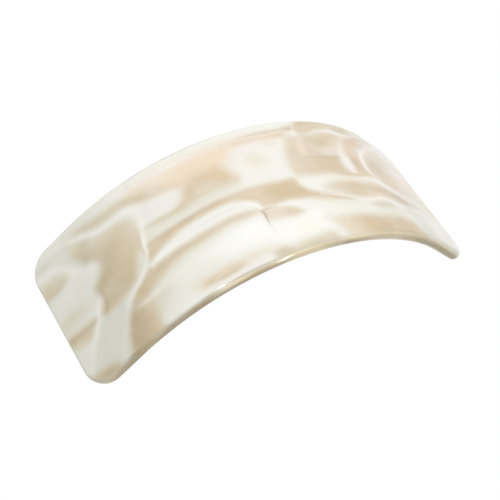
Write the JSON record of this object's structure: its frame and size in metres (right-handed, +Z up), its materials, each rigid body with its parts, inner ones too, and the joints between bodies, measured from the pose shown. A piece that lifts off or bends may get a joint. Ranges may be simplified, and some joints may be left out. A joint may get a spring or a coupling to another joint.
{
  "type": "barrette",
  "caption": "Arched rectangular hair barrette in marbled pearl acetate, with a metal French clasp: hinged arm, tension bow and pinch catch on its back.",
  "frame": {"origin": "on the line that the plate's two rounded ends stand on, under the middle of the barrette", "axes": "+X along the barrette towards the hinge end, +Y across it, +Z up through the crown of the arch"},
  "size_m": [0.0844, 0.033, 0.024],
  "materials": {
    "acetate": "polished marbled pearl white, cream and tan cellulose acetate",
    "clasp_metal": "bright nickel plated steel sheet",
    "spring_metal": "fine grained nickel plated spring steel",
    "rivet_metal": "satin steel",
    "eyelet_metal": "pale nickel plated brass"
  },
  "bodies": {
    "plate": {"face_plate": "acetate", "clasp_base": "clasp_metal", "hinge_end_rivet": "rivet_metal", "catch_end_rivet": "rivet_metal", "hinge_pin": "rivet_metal", "catch_seat": "spring_metal", "catch_eyelet": "eyelet_metal"},
    "arm": {"arm": "clasp_metal"},
    "bow": {"tension_bow": "spring_metal"},
    "jaw_front": {"catch_jaw_front": "spring_metal"},
    "jaw_rear": {"catch_jaw_rear": "spring_metal"}
  },
  "joints": [
    {"name": "arm_hinge", "type": "hinge", "parent": "plate", "child": "arm", "pos_m": [0.0257, 0, 0.00671], "axis": [0, -1, 0], "range_deg": [0, 75]},
    {"name": "bow_hinge", "type": "hinge", "parent": "plate", "child": "bow", "pos_m": [0.0257, 0, 0.00671], "axis": [0, -1, 0], "range_deg": [0, 12]},
    {"name": "jaw_front_bend", "type": "hinge", "parent": "plate", "child": "jaw_front", "pos_m": [-0.02816, -0.00115, 0.01031], "axis": [0.7771, 0, 0.6293], "range_deg": [0, 6], "stiffness_Nm_per_rad": 0.3},
    {"name": "jaw_rear_bend", "type": "hinge", "parent": "plate", "child": "jaw_rear", "pos_m": [-0.02816, 0.00115, 0.01031], "axis": [-0.7771, 0, -0.6293], "range_deg": [0, 6], "stiffness_Nm_per_rad": 0.3}
  ],
  "couplings": [
    {"joint": "bow_hinge", "follows": "arm_hinge", "ratio": 0.16}
  ]
}
